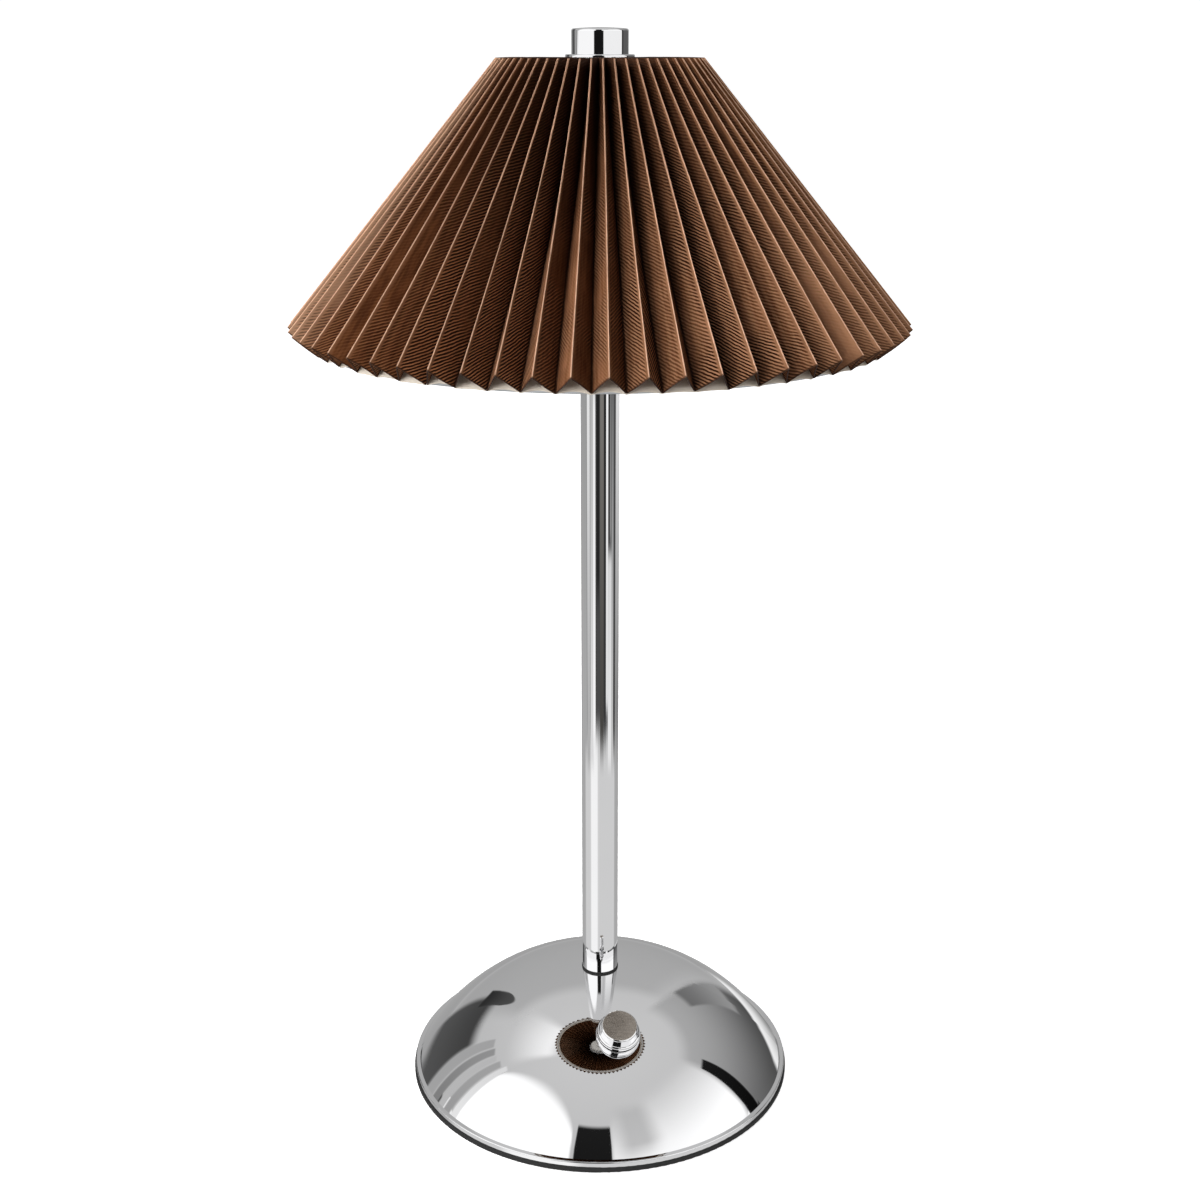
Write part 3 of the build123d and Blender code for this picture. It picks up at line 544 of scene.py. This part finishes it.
# Across a facet the cloth runs straight from ridge to valley, rounded at both and bowed a little between
side = np.stack([-np.sin(ridge_turn), np.cos(ridge_turn), 0 * ridge_turn], -1)
span = valley_point - ridge_point
across = np.sum(span * side, -1, keepdims=True) * side
points = ridge_point + across * width_share[:, None] + (span - across) * rounded[:, None]
bend = bow[facet_of, row] * facet_arch * np.sin(pi * reach)
points += side * (sideways_sign * bend)[:, None]
hang = hem_drift[facet_of] * facet_arch * reach**6
points += turned(slant.x, slant.y, ridge_turn) * hang[:, None]
shape(pleats, points)
lay_map(pleats, "strip", (2 * pleat + share) * FACET_WIDTH, fall * STRIP_LENGTH)
close_ring(pleats, radians(60))
pleats.data.materials.append(finishes["brown_fabric"])
pleats.data.materials.append(cut_edge)
thicken(pleats, CLOTH_THICKNESS, rim_slot=1)
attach(pleats, "shade")
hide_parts("shade_pleats")
trimmed_off = -top_depth * inwards.y / drop * STRIP_LENGTH
STRIP_LENGTH + trimmed_off
2 * PLEATS * FACET_WIDTH * (STRIP_LENGTH + trimmed_off / 2)

# Cream bands behind the upper and lower ends of the folds; the lower one arches up between them
valley_bottom = RIDGE_BOTTOM + bottom_depth * inwards
valley_top = RIDGE_TOP + top_depth * inwards
valley_line = (valley_bottom - valley_top).normalized()
valley_top += valley_line * ((RIDGE_TOP.y - valley_top.y) / valley_line.y)
band_in = Vector((valley_line.y, -valley_line.x)) * BAND_GAP


def band(name, edge, into_shade, arches):
    """A tape laid round the cone of the valleys, from this edge of the cloth into the shade."""
    tape, column, row = new_grid(name, PLEATS * BAND_POINTS_PER_FOLD + 1, BAND_ROWS)
    depth = row / (BAND_ROWS - 1)
    fold = column // BAND_POINTS_PER_FOLD % PLEATS
    between_folds = np.sin(pi * (column % BAND_POINTS_PER_FOLD) / BAND_POINTS_PER_FOLD)
    inset = depth * BAND_WIDTH + arches[fold] * between_folds * (1 - depth) ** 2
    turn = FIRST_RIDGE + (column / BAND_POINTS_PER_FOLD + 0.5) * PLEAT_ANGLE
    sag = BAND_SAG * between_folds * depth * (1 - depth)
    radius = edge.x + band_in.x + into_shade.x * inset - sag
    height = edge.y + band_in.y + into_shade.y * inset
    shape(tape, turned(radius, height, turn))
    lay_map(tape, "tape", column / (PLEATS * BAND_POINTS_PER_FOLD), depth)
    close_ring(tape, radians(50))
    tape.data.materials.append(finishes["cream_fabric"])
    thicken(tape, BAND_THICKNESS)
    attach(tape, "shade")
    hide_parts("shade_liner")


band("upper_band_cloth", valley_top, valley_line, np.zeros(PLEATS))
lower_arches = dice.uniform(0.1, 1.5, PLEATS) * MM
band("lower_band_cloth", valley_bottom, -valley_line, lower_arches)


# ---- Studio

cards = []


def hide_from(piece, *rays):
    """Keeps a piece of the studio out of sight of these kinds of ray."""
    for ray in rays:
        setattr(piece, "visible_" + ray, False)


def card(name, azimuths, elevations, levels, soft=(1.5, 1.5), arch=0.0, tint=(1, 1, 1)):
    """A glowing card far round the lamp, which shows in polished metal and nowhere else.

    Azimuth 0 is in front of the lamp and 90 at its right. The levels are its glow at its lower and
    upper edge, and soft is how many degrees its side and level edges take to fade. Each card hangs
    in front of those made before it.
    """
    wide = azimuths[1] - azimuths[0]
    high = elevations[1] - elevations[0]
    columns = 13 + int(wide) // 3
    rows = 9 + int(high) // 3
    piece, column, row = new_grid("card_" + name, columns, rows)
    cards.append(piece)
    distance = CARD_DISTANCE - CARD_STEP * len(cards)
    column_share = column / (columns - 1)
    row_share = 1 - row / (rows - 1)
    azimuth = np.radians(azimuths[0] + wide * column_share)
    top = elevations[1] - arch * (1 - np.sqrt(1 - (2 * column_share - 1) ** 2))
    elevation = np.radians(elevations[0] + (top - elevations[0]) * row_share)
    shape(piece, turned(distance * np.cos(elevation), distance * np.sin(elevation), azimuth - pi / 2))
    lay_map(piece, "card", column_share, row_share)

    made = Finish("glow_" + name)
    across, up, _ = made.split(made.node("UVMap", {"uv_map": "card"}))
    fade_across, fade_up = soft[0] / wide, soft[1] / high
    sides = made.ease(across, 0, fade_across) * made.ease(1 - across, 0, fade_across)
    ends = made.ease(up, 0, fade_up) * made.ease(1 - up, 0, fade_up)
    glow = made.node("Emission", {}, {"Color": rgb(*tint), "Strength": made.ease(up, 0, 1, *levels)})
    clear = made.node("BsdfTransparent")
    seen = made.node("MixShader", {}, {0: sides * ends, 1: clear, 2: glow})
    made.feed(made.tree.nodes["Material Output"].inputs["Surface"], seen)
    piece.data.materials.append(made.material)
    hide_from(piece, "camera", "diffuse", "shadow", "transmission", "volume_scatter")


# Walls, ceiling and table
card("room", (-180, 180), (-89, 89), (0.32, 0.60), soft=(0.01, 0.01))
card("back_wall", (150, 228), (-6, 48), (0.38, 0.43), soft=(15, 8))
card("back_floor", (100, 260), (-70, -3), (0.52, 0.36), soft=(15, 3))
card("table_front", (-112, 112), (-89, -21.5), (0.70, 0.64), soft=(14, 2))
card("table_bright", (-66, -8), (-75, -21), (0.98, 0.96), soft=(12, 3))
card("right_rear", (96, 158), (-14, 56), (0.06, 0.42), soft=(6, 9))

# What stands past the edge of the table, low in the stem
card("low_base", (-108, 108), (-23, -5), (0.07, 0.05), soft=(3, 1.5))
card("low_left_far", (-140, -84), (-24, -3), (0.42, 0.30), soft=(6, 2))
card("low_left_box", (-86, -62), (-24, -4), (0.45, 0.95), soft=(2, 1))
card("low_left_soft", (-62, -36), (-24, -4), (0.75, 0.38), soft=(3, 1))
card("low_left_white", (-43, -27), (-24, -9), (1.0, 0.9), soft=(1.5, 2))
card("low_front_dark", (-22, -3), (-18.5, -4), (0.02, 0.015), soft=(3, 2))
card("low_front_beige", (-1, 24), (-24, -4), (0.06, 0.24), soft=(3, 2), tint=(1, 0.95, 0.88))
card("low_right_dark", (22, 38), (-23.5, -4), (0.04, 0.012), soft=(2, 2))
card("low_right_white", (36, 51), (-22, -4), (0.80, 1.0), soft=(2, 1))
card("low_right_lit", (49, 76), (-24, -15.5), (0.85, 0.70), soft=(2, 1))
card("low_right_slot", (50, 61), (-16, -4), (0.04, 0.02), soft=(2, 1))
card("low_right_dim", (61, 73), (-16, -4), (0.28, 0.10), soft=(2, 1))
card("low_right_grey", (73, 91), (-24, -4), (0.55, 0.04), soft=(3, 1))
card("low_right_black", (91, 107), (-24, -4), (0.035, 0.09), soft=(2, 2))
card("low_right_far", (107, 165), (-24, -4), (0.20, 0.95), soft=(6, 3))

# Level with the finial
card("level_left_white", (-104, -24), (-5, 14), (1.0, 1.0), soft=(1, 0.5))
card("level_front_dark", (-24, 14), (-5, 14), (0.008, 0.008), soft=(1, 0.5))
card("level_right_white", (14, 98), (-5, 14), (0.92, 0.92), soft=(1, 0.5))
card("level_left_line", (-111, -104), (-5, 10), (0.02, 0.02), soft=(1, 1))
card("level_right_line", (98, 107), (-5, 10), (0.02, 0.02), soft=(1, 1))

# Soft boxes and panels, as the dome sees them
card("left_high", (-152, -92), (42, 74), (0.55, 1.0), soft=(12, 8))
card("left_box", (-94, -18), (8, 62), (1.15, 1.10), soft=(2, 8), arch=22)
card("right_box", (6, 98), (8, 64), (1.30, 0.60), soft=(4, 12), arch=12)
card("right_box_shade", (6, 46), (30, 60), (0.55, 0.50), soft=(16, 8))
card("gap", (-17, 8), (8, 49), (0.006, 0.012), soft=(1, 2.5))
card("right_slot", (97, 105.5), (8, 43), (0.004, 0.01), soft=(1, 2))
card("right_back_panel", (143, 156), (4, 38), (0.30, 0.15), soft=(2, 4))
card("left_panel", (-150, -119), (-11, 30), (0.09, 0.05), soft=(4, 8))
card("left_leaf", (-152, -143), (16, 37), (0.025, 0.07), soft=(1, 2), arch=12)
card("left_strip_white", (-97.5, -92), (3, 47), (0.85, 0.75))
card("left_strip_grey", (-103.5, -97), (1, 44), (0.34, 0.38))
card("left_strip_pale", (-108.5, -103), (0, 42), (0.50, 0.50))
card("left_strip_dark", (-114.5, -108), (-2, 41), (0.22, 0.30))
card("left_strip_far", (-121.5, -114), (-2, 40), (0.38, 0.38))


def level_sheet(name, size, height, finish, *unseen_by):
    """A level sheet under the lamp, out of sight of some kinds of ray."""
    deselect()
    bpy.ops.mesh.primitive_plane_add(size=size, location=(0, 0, height))
    piece = bpy.context.object
    piece.name = name
    bpy.ops.object.transform_apply(location=True, rotation=True, scale=True)
    piece.data.materials.append(finish.material)
    hide_from(piece, *unseen_by)


# Plain pale floor, which only the camera sees; it is brightest far away and takes a faint shadow
paper = Finish("floor_paper", base_color=grey(0.8), roughness=0.9, specular_ior_level=0.0)
point = paper.node("TexCoord", output="Object")
distance = paper.node("VectorMath", {"operation": "LENGTH"}, {0: point}, output=1)
far_off = paper.ease(distance, 0.15, 1.2)
paper.paint(emission_color=paper.mix(far_off, grey(0.86), grey(BACKDROP_GLOW)), emission_strength=1.0)
level_sheet("floor", 60, -0.001, paper, "glossy", "diffuse")

# What the table throws back up at the lamp
paper = Finish("bounce_paper", base_color=grey(0))
paper.paint(emission_color=rgb(1, 0.97, 0.93), emission_strength=0.5)
level_sheet("table_bounce", 6, -0.004, paper, "camera", "glossy", "shadow")

# Air: a bright backdrop for the camera and next to no fill for the lamp
world = bpy.data.worlds.new("studio_air")
bpy.context.scene.world = world
world.use_nodes = True
air = Wiring(world.node_tree)
fill = air.tree.nodes["Background"]
air.feed(fill.inputs["Color"], grey(1))
air.feed(fill.inputs["Strength"], 0.02)
backdrop = air.node("Background", {}, {"Color": grey(1), "Strength": BACKDROP_GLOW})
for_camera = air.node("LightPath", output="Is Camera Ray")
seen = air.node("MixShader", {}, {0: for_camera, 1: Value(air, fill.outputs[0]), 2: backdrop})
air.feed(air.tree.nodes["World Output"].inputs["Surface"], seen)


def soft_light(name, azimuth, elevation, distance, size, power):
    """A soft box that lights the lamp from this direction."""
    data = bpy.data.lights.new(name, "AREA")
    data.shape = "RECTANGLE"
    data.size, data.size_y = size
    data.energy = power
    lamp = bpy.data.objects.new(name, data)
    a, e = radians(azimuth), radians(elevation)
    out = Vector((sin(a) * cos(e), -cos(a) * cos(e), sin(e)))
    lamp.location = LIGHT_AIM + out * distance
    lamp.rotation_mode = "QUATERNION"
    lamp.rotation_quaternion = out.to_track_quat("Z", "Y")
    hide_from(lamp, "glossy")
    bpy.context.scene.collection.objects.link(lamp)


soft_light("left_side", -68, 24, 1.6, (0.9, 1.2), 8)
soft_light("left_front", -34, 24, 1.6, (0.7, 1.2), 22)
soft_light("right_front", 24, 24, 1.6, (0.7, 1.2), 2)
soft_light("right_side", 62, 24, 1.6, (0.9, 1.2), 1.7)
soft_light("top", 0, 82, 1.6, (1.0, 1.0), 3)
soft_light("back_left", -140, 30, 1.8, (1.0, 1.2), 12)
soft_light("back_right", 140, 30, 1.8, (1.0, 1.2), 9)

# Camera in front of the lamp, at the height of the finial
camera_data = bpy.data.cameras.new("camera")
camera_data.sensor_width = CAMERA_SENSOR
camera_data.lens = CAMERA_LENS
camera = bpy.data.objects.new("camera", camera_data)
camera.location = CAMERA_PLACE
camera.rotation_euler = (radians(90 - CAMERA_PITCH), 0, 0)
bpy.context.scene.collection.objects.link(camera)
bpy.context.scene.camera = camera
bpy.context.scene.view_settings.view_transform = "Standard"
